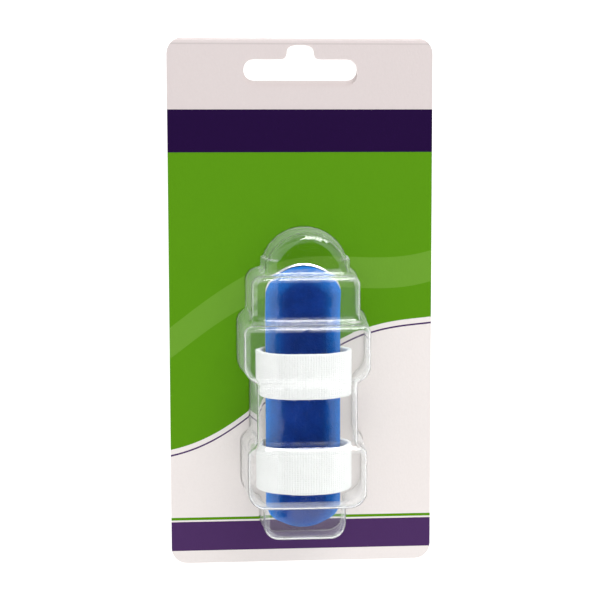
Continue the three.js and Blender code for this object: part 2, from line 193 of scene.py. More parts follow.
class SplintSettings(PropertyGroup):
    """The aluminium gutter and its foam lining"""

    heel: FloatProperty(
        name="Heel",
        description="Place of the splint's heel along the card, in millimetres",
        default=-64.5,
    )
    offset: FloatProperty(
        name="Offset",
        description="Place of the splint across the card, in millimetres",
        default=-0.15,
    )
    height: FloatProperty(
        name="Height",
        description="Underside of the metal over the floor, in millimetres",
        default=4.4,
    )
    length: FloatProperty(
        name="Length",
        description="Length of the splint along the card, in millimetres",
        default=77.1,
        min=40,
    )
    radius: FloatProperty(
        name="Gutter Radius",
        description="Outside radius of the metal's section, in millimetres",
        default=14.9,
        min=5,
    )
    metal: FloatProperty(
        name="Metal Thickness",
        description="Thickness of the metal, in millimetres",
        default=0.7,
        min=0.2,
    )
    foam: FloatProperty(
        name="Foam Thickness",
        description="Thickness of the foam, in millimetres",
        default=4.8,
        min=1,
    )
    curl_radius: FloatProperty(
        name="Curl Radius",
        description="Radius of the curled tip, in millimetres",
        default=18,
        min=5,
    )
    curl_angle: FloatProperty(
        name="Curl Angle",
        description="How far the tip curls up",
        default=math.radians(58),
        subtype="ANGLE",
    )
    foam_colour: colour_property(
        name="Foam Colour",
        description="Colour of the foam's face",
        default=(0.008, 0.056, 0.36, 1),
    )
    # The paler cut colour is painted light on the lit rim of the foam.
    cut_lit_colour: colour_property(
        name="Cut Foam Colour",
        description="Colour of the foam's cut rim",
        default=(0.014, 0.25, 0.82, 1),
    )
    metal_colour: colour_property(
        name="Metal Colour",
        description="Colour of the bare aluminium",
        default=(0.83, 0.84, 0.86, 1),
    )


class BandSettings(PropertyGroup):
    """The two hook-and-loop bands and the patches that they fasten to"""

    upper: FloatProperty(
        name="Upper Band",
        description="Place of the upper band's middle along the card, in millimetres",
        default=-18.2,
    )
    lower: FloatProperty(
        name="Lower Band",
        description="Place of the lower band's middle along the card, in millimetres",
        default=-45.0,
    )
    width: FloatProperty(
        name="Band Width",
        description="Width of each band, in millimetres",
        default=12.7,
        min=3,
    )
    thickness: FloatProperty(
        name="Band Thickness",
        description="Thickness of each band with its nap, in millimetres",
        default=1.3,
        min=0.3,
    )
    bottom: FloatProperty(
        name="Loop Bottom",
        description="Lowest point of the loop over the floor, without its lap, in millimetres",
        default=2.25,
    )
    loop_width: FloatProperty(
        name="Loop Width",
        description="Width of the closed loop, in millimetres",
        default=27.2,
    )
    loop_height: FloatProperty(
        name="Loop Height",
        description="Height of the closed loop, in millimetres",
        default=22.55,
    )
    rib: FloatProperty(
        name="Rib Spacing",
        description="Spacing of the knitted ribs, in millimetres",
        default=0.72,
        min=0.2,
    )
    colour: colour_property(
        name="Band Colour",
        description="Colour of the white loop fabric",
        default=(0.95, 0.945, 0.93, 1),
    )


class BlisterSettings(PropertyGroup):
    """The clear stepped blister"""

    wall: FloatProperty(
        name="Wall",
        description="Thickness of the plastic, in millimetres",
        default=0.4,
        min=0.1,
    )
    junction: FloatProperty(
        name="Junction Radius",
        description="Radius where two stages meet, in millimetres",
        default=1.5,
        min=0.2,
    )
    crown: FloatProperty(
        name="Crown",
        description="How much lower the fronts are at their sides, in millimetres",
        default=0.9,
        min=0,
    )
    step: FloatProperty(
        name="Mesh Step",
        description="Size of one mesh face, in millimetres",
        default=0.55,
        min=0.3,
    )


class PrintSettings(PropertyGroup):
    """The card and its print"""

    white: colour_property(
        name="White",
        description="Colour of the unprinted board",
        default=(0.80, 0.745, 0.725, 1),
    )
    # The header colour is painted shade: the board by the hang slot is painted greyer than the
    # white board, for the shade that falls on the card's head.
    header: colour_property(
        name="Header",
        description="Colour of the pale header by the hang slot",
        default=(0.653, 0.585, 0.579, 1),
    )
    green: colour_property(
        name="Green",
        description="Colour of the green field",
        default=(0.09, 0.27, 0.004, 1),
    )
    purple: colour_property(
        name="Purple",
        description="Colour of the upper stripe",
        default=(0.013, 0.001, 0.038, 1),
    )
    # The lower purple is painted glare: lighter than the upper purple, for the light that the
    # coated board reflects over its lower half.
    purple_with_glare: colour_property(
        name="Lower Purple",
        description="Colour of the lower stripe and the thin line",
        default=(0.066, 0.026, 0.108, 1),
    )


class PackSettings(PropertyGroup):
    """All the settings of the pack"""

    splint: PointerProperty(name="Splint", description="Metal and foam", type=SplintSettings)
    bands: PointerProperty(name="Bands", description="Bands and patches", type=BandSettings)
    blister: PointerProperty(name="Blister", description="Clear blister", type=BlisterSettings)
    card: PointerProperty(name="Card", description="Card and print", type=PrintSettings)
    floor_size: FloatProperty(
        name="Floor Size",
        description="Length of each side of the floor",
        default=6,
        min=1,
        unit="LENGTH",
    )
    seed: IntProperty(
        name="Seed",
        description="Changes the small unevenness of the soft pieces",
        default=7,
        min=0,
    )


# Mesh building


def add_piece(name, points, faces, material, slot, nodes, **masks):
    """A smooth mesh piece from points in millimetres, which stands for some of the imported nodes.

    Each mask gives every point a number or a vector that its material reads by name.
    """
    mesh = bpy.data.meshes.new(name)
    mesh.from_pydata((np.asarray(points) * MM).tolist(), [], faces)
    mesh.update()
    mesh.polygons.foreach_set("use_smooth", [True] * len(mesh.polygons))
    mesh.materials.append(material)
    for key, values in masks.items():
        vector = np.ndim(values) == 2
        kept = mesh.attributes.new(key, "FLOAT_VECTOR" if vector else "FLOAT", "POINT")
        kept.data.foreach_set("vector" if vector else "value", np.ravel(values))
    piece = bpy.data.objects.new(name, mesh)
    bpy.context.scene.collection.objects.link(piece)
    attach(piece, "root")
    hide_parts(*nodes)
    return piece


def dress(piece, material):
    """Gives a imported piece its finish."""
    piece.data.materials.clear()
    piece.data.materials.append(material)


def soften(piece, width):
    """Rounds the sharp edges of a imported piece, by a width in millimetres."""
    soft = piece.modifiers.new("soft_edges", "BEVEL")
    soft.width = width * MM
    soft.segments = 2
    soft.limit_method = "ANGLE"
    soft.angle_limit = math.radians(40)


def grid_faces(rows, columns, start=0, closed=False):
    """Quads over a grid of points. A closed grid joins its last column to its first."""
    faces = []
    for i in range(rows - 1):
        for j in range(columns if closed else columns - 1):
            a = start + i * columns + j
            b = start + i * columns + (j + 1) % columns
            faces.append((a, a + columns, b + columns, b))
    return faces


def slab(back, front, levels):
    """A closed slab between two grids, with extra rings in its walls.

    Returns the points, the faces and how far each point lies from the back to the front.
    """
    rows, columns = back.shape[:2]
    lift = rows * columns
    rim = [i * columns for i in range(rows)]
    rim += [(rows - 1) * columns + j for j in range(1, columns)]
    rim += [i * columns + columns - 1 for i in range(rows - 2, -1, -1)]
    rim += list(range(columns - 2, 0, -1))
    low, high = back.reshape(-1, 3), front.reshape(-1, 3)
    rings = [low[rim] * (1 - k / levels) + high[rim] * k / levels for k in range(1, levels)]
    numbers = [np.array(rim)]
    numbers += [2 * lift + k * len(rim) + np.arange(len(rim)) for k in range(levels - 1)]
    numbers.append(np.array(rim) + lift)
    faces = grid_faces(rows, columns, lift)
    faces += [face[::-1] for face in grid_faces(rows, columns)]
    for lower, upper in zip(numbers, numbers[1:]):
        after, over = np.roll(lower, -1), np.roll(upper, -1)
        faces += np.stack([lower, after, over, upper], -1).tolist()
    share = np.repeat(
        [0, 1, *(k / levels for k in range(1, levels))],
        [lift, lift] + [len(rim)] * (levels - 1),
    )
    return np.concatenate([low, high, *rings]), faces, share


def rounding(distance, radius):
    """How far a rounded edge drops at a distance from the rim."""
    reach = radius - np.clip(distance, 0, radius)
    return radius - np.sqrt(np.maximum(radius**2 - reach**2, 0))


def unevenness(points, size, seed):
    """Smooth noise from -1 to 1 at each point, for features of a size in millimetres."""
    shift = Vector((seed * 3.7, seed * 1.3, seed * 5.1))
    return np.array([noise.noise(Vector(p) / size + shift) for p in points])


# The gutter that the metal and the foam follow


def spine(splint, distance):
    """Place and turn of the underside's middle line, at distances from the heel."""
    straight = splint.length - splint.curl_radius * math.sin(splint.curl_angle)
    turn = np.clip((distance - straight) / splint.curl_radius, 0, splint.curl_angle)
    y = np.minimum(distance, straight) + splint.curl_radius * np.sin(turn)
    z = splint.curl_radius * (1 - np.cos(turn))
    return splint.heel + y, splint.height + z, turn


def gutter_slab(splint, outer, inner, half_angle, inset, rounds, columns, waver=0.0, seed=0):
    """A curved strip with rounded ends and rounded rims.

    Returns its points, its faces and how much each point takes the paler rim colour, which is
    painted light.
    """
    straight = splint.length - splint.curl_radius * math.sin(splint.curl_angle)
    total = straight + splint.curl_radius * splint.curl_angle
    sweep = np.radians(np.linspace(0, 89, END_STEPS))
    heel = HEEL_ROUND - (HEEL_ROUND - inset) * np.sin(sweep[::-1])
    tip = total - TIP_ROUND + (TIP_ROUND - inset) * np.sin(sweep)
    middle = np.linspace(HEEL_ROUND, total - TIP_ROUND, LENGTH_STEPS)[1:-1]
    along = np.concatenate([heel, middle, tip])
    share = np.concatenate([np.cos(sweep[::-1]), np.ones(len(middle)), np.cos(sweep)])
    across = np.sin(np.linspace(-math.pi / 2, math.pi / 2, columns))
    width = math.radians(half_angle) * (outer + inner) / 2
    flat = np.stack(
        [np.outer(share, across) * width, np.repeat(along[:, None], columns, 1)], -1
    )
    rim = np.concatenate([flat[:, 0], flat[-1], flat[::-1, -1], flat[0, ::-1]])
    steps = np.linspace(0, 1, 4, endpoint=False)[:, None, None]
    rim = (rim[None] * (1 - steps) + np.roll(rim, -1, 0)[None] * steps).reshape(-1, 2)
    reach = np.linalg.norm(flat.reshape(-1, 1, 2) - rim[None], axis=-1).min(1)
    angle = (np.outer(share, across) * math.radians(half_angle)).ravel()
    y, z, turn = (np.repeat(v, columns) for v in spine(splint, along))
    layers = []
    for radius, round_off, side in ((outer, rounds[0], -1), (inner, rounds[1], 1)):
        level = radius + side * rounding(reach, round_off)
        if waver:
            bumps = unevenness(np.stack([angle * radius, y, z], -1), 6, seed + side)
            level = level - waver * (bumps + 1) * (side > 0) * np.minimum(reach, 1)
        rise = splint.radius - level * np.cos(angle)
        x = splint.offset + level * np.sin(angle)
        layer = np.stack([x, y - rise * np.sin(turn), z + rise * np.cos(turn)], -1)
        layers.append(layer.reshape(len(along), columns, 3))
    points, faces, share = slab(layers[0], layers[1], THICKNESS_STEPS)
    reach = np.concatenate([reach, reach, np.zeros(len(points) - 2 * len(reach))])
    # Painted light on the rim: strongest on the outer part of the cut wall, weaker towards the
    # groove, and fading onto the faces.
    cut = (1 - CUT_LIGHT_LOSS * share) * np.exp(-reach / CUT_LIGHT_REACH)
    return points, [face[::-1] for face in faces], cut


# The loop that a band follows


def loop_line(bands, degrees):
    """Middle line of a closed band and its outward direction, round from the bottom."""
    angle = np.radians(degrees)
    half = (bands.loop_width - bands.thickness) / 2
    waist = LOOP_WAIST * bands.loop_height
    lower = waist - bands.thickness / 2
    upper = bands.loop_height - waist - bands.thickness / 2
    depth = np.where(np.cos(angle) > 0, lower, upper)
    out = np.stack([depth * np.sin(angle), -half * np.cos(angle)], -1)
    out /= np.linalg.norm(out, axis=-1, keepdims=True)
    line = np.stack([half * np.sin(angle), bands.bottom + waist - depth * np.cos(angle)], -1)
    return line, out


def band_section(width, thickness, round_off, spacing):
    """Closed outline of the band's section: along the width, and out of the loop."""
    half, side = width / 2 - round_off, thickness / 2
    count = max(int(2 * half / spacing), 2)
    corner = np.radians(np.linspace(0, 90, 5))
    flat = np.linspace(-half, half, count)
    top = side - round_off

    def arc(start, x, y):
        return [
            (x + round_off * math.cos(start + a), y + round_off * math.sin(start + a))
            for a in corner
        ]

    outline = [(x, side) for x in flat[::-1]]
    outline += arc(math.pi / 2, -half, top)[1:] + arc(math.pi, -half, -top)[:-1]
    outline += [(x, -side) for x in flat]
    outline += arc(1.5 * math.pi, half, -top)[1:] + arc(0, half, top)[:-1]
    return np.array(outline)


def fuzz_mesh(points, away, middle, seed):
    """Short loose fibres that stand out of a band, as small bent ribbons."""
    rng = np.random.default_rng(seed)
    edge = np.abs(points[:, 1] - middle)
    outer = edge > edge.max() - FIBRE_RIM
    odds = np.where(outer, 3.0, 1.0)
    picked = rng.choice(len(points), FIBRES, replace=False, p=odds / odds.sum())
    root = points[picked]
    lean = rng.normal(0, 0.55, (len(picked), 3))
    lean[:, 1] += np.sign(root[:, 1] - middle) * outer[picked] * 0.9
    aim = away[picked] + lean
    aim /= np.linalg.norm(aim, axis=1, keepdims=True)
    reach = rng.uniform(*FIBRE_REACH, (len(picked), 1))
    bend = rng.normal(0, 0.5, (len(picked), 3))
    side = np.cross(aim, bend)
    side *= FIBRE_HALF_WIDTH / np.linalg.norm(side, axis=1, keepdims=True)
    knee = root + aim * reach
    tip = knee + (aim * 0.6 + bend) * reach * 0.7
    pairs = ((root, side), (knee, side), (tip, side / 2))
    fuzz = np.stack([place + sign * half for place, half in pairs for sign in (-1, 1)], 1)
    start = np.arange(len(picked))[:, None] * 6
    tufts = np.concatenate([start + [0, 1, 3, 2], start + [2, 3, 5, 4]])
    return fuzz.reshape(-1, 3), tufts, np.repeat(picked, 6)


def band_mesh(bands, middle, offset, seed):
    """Points, faces and weave places of one band, closed by a lap under the metal."""
    degrees = np.linspace(*BAND_ENDS, BAND_STEPS)
    line, out = loop_line(bands, degrees)
    lift = np.clip((degrees - LAP_RISE[0]) / (LAP_RISE[1] - LAP_RISE[0]), 0, 1)
    lift = lift * lift * (3 - 2 * lift) * (bands.thickness + BOND_GAP)
    line = line + out * lift[:, None]
    length = np.concatenate([[0], np.cumsum(np.linalg.norm(np.diff(line, axis=0), axis=1))])
    section = band_section(bands.width, bands.thickness, BAND_ROUND, BAND_SPACING)
    ring = len(section)
    around = np.repeat(section[None], len(degrees), 0)
    ends = np.minimum(length, length[-1] - length)
    squeeze = 1 - END_THINNING * np.clip(1 - ends / END_TAPER, 0, 1) ** 2
    worn = np.array([noise.noise(Vector((s / 4, seed, 2.2))) for s in length]) * 0.5 + 0.7
    ribs = 0.5 + 0.5 * np.cos(2 * math.pi * length / bands.rib)
    edge = np.clip((bands.width / 2 - np.abs(around[..., 0])) / RIB_FADE, 0, 1)
    relief = -RIB_DEPTH * (worn * ribs)[:, None] * edge * (around[..., 1] > 0)
    drift = np.array([noise.noise(Vector((s / 7, seed, 0.4))) for s in length]) * EDGE_DRIFT
    y = middle + around[..., 0] + drift[:, None] * np.abs(around[..., 0]) / (bands.width / 2)
    away = around[..., 1] * squeeze[:, None] + relief
    spot = line[:, None] + out[:, None] * away[..., None]
    points = np.stack([offset + spot[..., 0], y, spot[..., 1]], -1).reshape(-1, 3)
    fluff = unevenness(points, 0.5, seed) * FLUFF
    sideways, upward = np.repeat(out[:, 0], ring), np.repeat(out[:, 1], ring)
    points[:, 0] += fluff * sideways
    points[:, 2] += fluff * upward
    faces = grid_faces(len(degrees), ring, closed=True)
    faces.append(tuple(range(ring)))
    faces.append(tuple(range(len(points) - ring, len(points)))[::-1])
    weave = np.stack(
        [np.repeat(length, ring), around[..., 0].ravel(), around[..., 1].ravel()], -1
    )
    away = np.stack([sideways, np.zeros(len(points)), upward], -1)
    fuzz, tufts, roots = fuzz_mesh(points, away * np.sign(weave[:, 2:] + 0.1), middle, seed)
    faces += (tufts + len(points)).tolist()
    return np.concatenate([points, fuzz]), faces, np.concatenate([weave, weave[roots]])


# The blister as one smooth surface


def smooth_union(a, b, size):
    """The union of two distances, with a fillet where they meet."""
    blend = np.maximum(size - np.abs(a - b), 0) / size
    return np.minimum(a, b) - blend**2 * size / 4


def rounded_corner(a, b, radius):
    """Distance to the corner between two faces, rounded by a radius, negative inside it."""
    outside = np.hypot(np.maximum(a, 0), np.maximum(b, 0)) - radius
    return outside + np.minimum(np.maximum(a, b), 0)


def blister_distance(blister, points):
    """Distance of points to the outside of the blister, negative inside it."""
    x, y, z = points[:, 0], points[:, 1], points[:, 2]
    whole = None
    for stage in BLISTER_STAGES:
        middle, foot, head, half, front, draft, head_radius, foot_radius, edge, back = stage
        rise = np.maximum(z - CARD_TOP, 0)
        lean = draft * rise
        tip = head - back * rise / (front - CARD_TOP)
        radius = np.where(y > (foot + tip) / 2, head_radius, foot_radius) - lean
        radius = np.maximum(radius, LEAST_CORNER)
        across = np.abs(x - middle) - (half - lean) + radius
        along = np.abs(y - (foot + tip) / 2) - ((tip - foot) / 2 - lean) + radius
        side = rounded_corner(across, along, radius)
        bulge = blister.crown * half / WIDEST * (NARROW_SHARE if half < NARROW_FRONT else 1)
        crown = bulge * ((x - middle) / half) ** 2
        body = rounded_corner(side + edge, z - front + crown + edge, edge)
        whole = body if whole is None else smooth_union(whole, body, blister.junction)
    return smooth_union(whole, z - FLANGE_TOP, FLANGE_FILLET)


def slope(distance, points, reach=0.02):
    """Direction in which a distance grows fastest."""
    steps = np.eye(3) * reach
    parts = [distance(points + step) - distance(points - step) for step in steps]
    return np.stack(parts, -1) / (2 * reach)


def net_surface(distance, low, high, step):
    """Points and quads on the zero surface of a distance, one point for each crossed cell."""
    axes = [np.arange(a, b + step, step) for a, b in zip(low, high)]
    grid = np.stack(np.meshgrid(*axes, indexing="ij"), -1)
    value = distance(grid.reshape(-1, 3)).reshape(grid.shape[:3])
    size = np.array(value.shape) - 1
    total, count = np.zeros((*size, 3)), np.zeros(size)
    for axis in range(3):
        others = [d for d in range(3) if d != axis]
        for first in (0, 1):
            for second in (0, 1):
                near, far = [slice(0, n) for n in size], [slice(0, n) for n in size]
                far[axis] = slice(1, size[axis] + 1)
                for d, offset in zip(others, (first, second)):
                    near[d] = far[d] = slice(offset, offset + size[d])
                near, far = tuple(near), tuple(far)
                a, b = value[near], value[far]
                crossed = (a < 0) != (b < 0)
                share = np.where(crossed, a / np.where(crossed, a - b, 1), 0)[..., None]
                place = grid[near] * (1 - share) + grid[far] * share
                total += place * crossed[..., None]
                count += crossed
    active = count > 0
    number = np.full(size, -1)
    number[active] = np.arange(active.sum())
    points = total[active] / count[active][:, None]
    quads = []
    for axis in range(3):
        b, c = (axis + 1) % 3, (axis + 2) % 3
        near = [slice(1, n) for n in size]
        near[axis] = slice(0, size[axis])
        far = list(near)
        far[axis] = slice(1, size[axis] + 1)
        inner, outer = value[tuple(near)] < 0, value[tuple(far)] < 0
        spots = np.argwhere(inner != outer)
        spots[:, b] += 1
        spots[:, c] += 1
        outward = inner[inner != outer]
        corners = []
        for db, dc in ((-1, -1), (0, -1), (0, 0), (-1, 0)):
            cell = spots.copy()
            cell[:, b] += db
            cell[:, c] += dc
            corners.append(number[tuple(cell.T)])
        quad = np.stack(corners, -1)
        quad[~outward] = quad[~outward][:, ::-1]
        quads.append(quad)
    quads = np.concatenate(quads)
    return points, quads[(quads >= 0).all(1)]


def bending(distance, points, reach=0.3):
    """How tightly the surface bends at each point, as one over its radius."""
    around = -6 * distance(points)
    for step in np.eye(3) * reach:
        around += distance(points + step) + distance(points - step)
    return np.abs(around) / reach**2


def blister_mesh(blister):
    """The thin clear shell with its flange: points, faces and how tightly each point is bent."""

    def distance(places):
        return blister_distance(blister, places)

    points, quads = net_surface(distance, BLISTER_LOW, BLISTER_HIGH, blister.step)
    for _ in range(3):
        away = slope(distance, points)
        points = points - away * (distance(points) / (away**2).sum(1))[:, None]
    centre = points[quads].mean(1)
    across = np.abs(centre[:, 0] - FLANGE_MIDDLE[0]) - (FLANGE_HALF[0] - FLANGE_CORNER)
    along = np.abs(centre[:, 1] - FLANGE_MIDDLE[1]) - (FLANGE_HALF[1] - FLANGE_CORNER)
    quads = quads[rounded_corner(across, along, FLANGE_CORNER) < 0]
    used = np.unique(quads)
    number = np.full(len(points), -1)
    number[used] = np.arange(len(used))
    points, quads = points[used], number[quads]
    away = slope(distance, points)
    away /= np.linalg.norm(away, axis=1, keepdims=True)
    bent = np.clip((bending(distance, points) - WHITEN_FROM) / WHITEN_RANGE, 0, 1)
    bent *= points[:, 2] > WHITEN_HEIGHT
    inner = points - away * blister.wall
    edges = np.concatenate([quads[:, [i, (i + 1) % 4]] for i in range(4)])
    present = set(map(tuple, edges.tolist()))
    rim = [(a, b) for a, b in present if (b, a) not in present]
    lift = len(points)
    faces = quads.tolist() + (quads[:, ::-1] + lift).tolist()
    faces += [(b, a, a + lift, b + lift) for a, b in sorted(rim)]
    return np.concatenate([points, inner]), faces, np.tile(bent, 2)


# Finishes


def new_material(name):
    """An empty material and its node tree."""
    material = bpy.data.materials.new(name)
    material.use_nodes = True
    material.node_tree.nodes.clear()
    return material, material.node_tree


def node(tree, kind, inputs=(), **settings):
    """A new node. Inputs are numbers, colours or other nodes' outputs, by socket name or place."""
    made = tree.nodes.new(kind)
    for key, value in settings.items():
        setattr(made, key, value)
    for key, value in dict(inputs).items():
        socket = made.inputs[key]
        if isinstance(value, bpy.types.NodeSocket):
            tree.links.new(value, socket)
        else:
            socket.default_value = value
    return made


def math_node(tree, operation, *values):
    """The result of a Math node."""
    return node(tree, "ShaderNodeMath", enumerate(values), operation=operation).outputs[0]


def between(tree, value, low, high):
    """1 where a value lies between two limits, and 0 elsewhere."""
    over = math_node(tree, "GREATER_THAN", value, low)
    under = math_node(tree, "LESS_THAN", value, high)
    return math_node(tree, "MULTIPLY", over, under)


def mix_colour(tree, share, under, over):
    """A colour between two, by a share."""
    made = node(tree, "ShaderNodeMix", {0: share, 6: under, 7: over}, data_type="RGBA")
    return made.outputs[2]


def scaled(tree, vector, factor):
    """A vector or a colour times a number."""
    made = node(tree, "ShaderNodeVectorMath", {0: vector, "Scale": factor}, operation="SCALE")
    return made.outputs[0]


def ranged(tree, value, given, wanted):
    """A value carried from one range to another, and kept inside it."""
    limits = {"From Min": given[0], "From Max": given[1]}
    limits.update({"To Min": wanted[0], "To Max": wanted[1]})
    return node(tree, "ShaderNodeMapRange", {"Value": value, **limits}).outputs[0]


def finish(tree, **inputs):
    """The Principled shader and the output of a material."""
    words = {key.replace("_", " "): value for key, value in inputs.items()}
    shader = node(tree, "ShaderNodeBsdfPrincipled", words)
    output = node(tree, "ShaderNodeOutputMaterial", {"Surface": shader.outputs[0]})
    return shader, output


def grain_group():
    """A shared node group: uneven grain that can be stretched, as a value from 0 to 1."""
    found = bpy.data.node_groups.get("Uneven Grain")
    if found:
        return found
    tree = bpy.data.node_groups.new("Uneven Grain", "ShaderNodeTree")
    face = tree.interface
    face.new_socket("Place", in_out="INPUT", socket_type="NodeSocketVector")
    face.new_socket("Stretch", in_out="INPUT", socket_type="NodeSocketVector")
    for name in ("Scale", "Detail", "Lowest", "Highest"):
        face.new_socket(name, in_out="INPUT", socket_type="NodeSocketFloat")
    face.new_socket("Value", in_out="OUTPUT", socket_type="NodeSocketFloat")
    given = node(tree, "NodeGroupInput").outputs
    stretched = node(
        tree,
        "ShaderNodeVectorMath",
        {0: given["Place"], 1: given["Stretch"]},
        operation="MULTIPLY",
    )
    cloud = node(
        tree,
        "ShaderNodeTexNoise",
        {"Vector": stretched.outputs[0], "Scale": given["Scale"], "Detail": given["Detail"]},
    )
    value = ranged(tree, cloud.outputs[0], (0.3, 0.7), (given["Lowest"], given["Highest"]))
    node(tree, "NodeGroupOutput", {"Value": value})
    return tree


def grain(tree, place, scale, detail=4.0, stretch=(1, 1, 1), lowest=0.0, highest=1.0):
    """The shared grain, placed in a material with its own values."""
    values = {"Place": place, "Stretch": stretch, "Scale": scale, "Detail": detail}
    values.update({"Lowest": lowest, "Highest": highest})
    return node(tree, "ShaderNodeGroup", values, node_tree=grain_group()).outputs[0]


def millimetres(tree):
    """Places on the object, in millimetres."""
    return scaled(tree, node(tree, "ShaderNodeTexCoord").outputs["Object"], 1 / MM)


def bump(tree, height, distance, strength=1.0):
    """A normal from a height, where 1 is a distance in metres."""
    made = node(
        tree, "ShaderNodeBump", {"Height": height, "Distance": distance, "Strength": strength}
    )
    return made.outputs[0]


def wave_edge(tree, x, level, slant, swing, pace, start):
    """Height of a waved line across the card."""
    swell = math_node(tree, "SINE", math_node(tree, "MULTIPLY_ADD", x, pace, start))
    ramp = math_node(tree, "MULTIPLY_ADD", x, slant, level)
    return math_node(tree, "MULTIPLY_ADD", swell, swing, ramp)


def card_material(card):
    """Coated board with purple stripes and a waved green field; painted shade at the head and the
    crease, painted glare below.
    """
    material, tree = new_material("printed_board")
    place = millimetres(tree)
    parts = node(tree, "ShaderNodeSeparateXYZ", {0: place}).outputs
    x, y = parts[0], parts[1]
    normal = node(tree, "ShaderNodeNewGeometry").outputs["Normal"]
    up = node(tree, "ShaderNodeSeparateXYZ", {0: normal}).outputs[2]
    front = math_node(tree, "GREATER_THAN", up, 0.5)
    speckle = grain(tree, place, 1.6, 6, lowest=0.985, highest=1.008)
    edge = wave_edge(tree, x, *FIELD_EDGE)
    below = math_node(tree, "SUBTRACT", edge, y)
    field = math_node(
        tree,
        "MULTIPLY",
        math_node(tree, "LESS_THAN", below, 0.0),
        math_node(tree, "LESS_THAN", y, UPPER_STRIPE[0]),
    )
    pinstripe = between(tree, below, *PINSTRIPE)
    swell = wave_edge(tree, x, *PALE_EDGE)
    light = between(tree, math_node(tree, "SUBTRACT", swell, y), *PALE_BAND)
    tint = math_node(tree, "MULTIPLY", light, PALE_SHARE)
    green = mix_colour(tree, tint, card.green, PALE_GREEN)
    stripes = math_node(
        tree,
        "MAXIMUM",
        between(tree, y, *UPPER_STRIPE),
        between(tree, y, *LOWER_STRIPE),
    )
    ink = math_node(tree, "MAXIMUM", stripes, pinstripe)
    # Below the card's middle the purple takes the lighter colour, which is painted glare.
    low = math_node(tree, "LESS_THAN", y, 0.0)
    purple = mix_colour(tree, low, card.purple, card.purple_with_glare)
    # Above the upper stripe the board takes the greyer header colour, which is painted shade.
    head = math_node(tree, "GREATER_THAN", y, UPPER_STRIPE[1])
    board_and_head_shade = mix_colour(tree, head, card.white, card.header)
    colour = mix_colour(tree, field, board_and_head_shade, green)
    colour = mix_colour(tree, between(tree, y, *LOWER_LINE), colour, card.green)
    colour = mix_colour(tree, ink, colour, purple)
    colour = mix_colour(tree, front, card.white, colour)
    # A painted shade line: the board is darkened by up to a fifth within 0.35 mm of the crease.
    from_fold = math_node(tree, "ABSOLUTE", math_node(tree, "SUBTRACT", y, FOLD_CREASE))
    crease_shade = ranged(tree, from_fold, (0.0, 0.35), (0.8, 1.0))
    speckle_and_crease_shade = math_node(tree, "MULTIPLY", speckle, crease_shade)
    rough = grain(tree, place, 0.35, 5, lowest=0.54, highest=0.64)
    fibre = grain(tree, place, 2.2, 5, stretch=(1, 0.5, 1))
    finish(
        tree,
        Base_Color=scaled(tree, colour, speckle_and_crease_shade),
        Roughness=rough,
        Specular_IOR_Level=0.05,
        Normal=bump(tree, fibre, 0.00003, 0.5),
    )
    return material


def foam_material(splint):
    """Open-cell foam: pitted cells of two sizes, with painted shade in the pits and painted light
    on the rim.
    """
    material, tree = new_material("blue_open_cell_foam")
    place = millimetres(tree)
    cells = node(
        tree, "ShaderNodeTexVoronoi", {"Vector": place, "Scale": 1.9, "Randomness": 1.0}
    ).outputs[0]
    small = node(
        tree, "ShaderNodeTexVoronoi", {"Vector": place, "Scale": 4.3, "Randomness": 1.0}
    ).outputs[0]
    pits = math_node(
        tree,
        "MULTIPLY_ADD",
        math_node(tree, "POWER", cells, 0.7),
        0.65,
        math_node(tree, "MULTIPLY", small, 0.45),
    )
    cloud = grain(tree, place, 0.22, 4)
    # Painted shade: the colour is darkened down to 0.6 in the pits of the cells.
    depth = ranged(tree, pits, (0.2, 0.9), (0.6, 1.0))
    cut = node(tree, "ShaderNodeAttribute", attribute_name="cut").outputs["Fac"]
    dark = tuple(c * 0.7 for c in splint.foam_colour[:3]) + (1,)
    colour = mix_colour(tree, cloud, dark, splint.foam_colour)
    # Towards the rim the foam takes the paler cut colour, which is painted light.
    colour = mix_colour(tree, cut, colour, splint.cut_lit_colour)
    finish(
        tree,
        Base_Color=scaled(tree, colour, depth),
        Roughness=0.92,
        Specular_IOR_Level=0.15,
        Normal=bump(tree, pits, 0.0003, 0.9),
    )
    return material


def metal_material(splint):
    """Rolled aluminium with fine lengthwise brushing."""
    material, tree = new_material("rolled_aluminium")
    place = millimetres(tree)
    brushing = grain(tree, place, 3.5, 6, stretch=(1.6, 0.05, 1.6))
    cloud = grain(tree, place, 0.12, 3, lowest=0.85, highest=1.0)
    finish(
        tree,
        Base_Color=scaled(tree, tuple(splint.metal_colour[:3]), cloud),
        Metallic=1.0,
        Roughness=ranged(tree, brushing, (0.0, 1.0), (0.2, 0.38)),
        Normal=bump(tree, brushing, 0.00002, 0.6),
    )
    return material


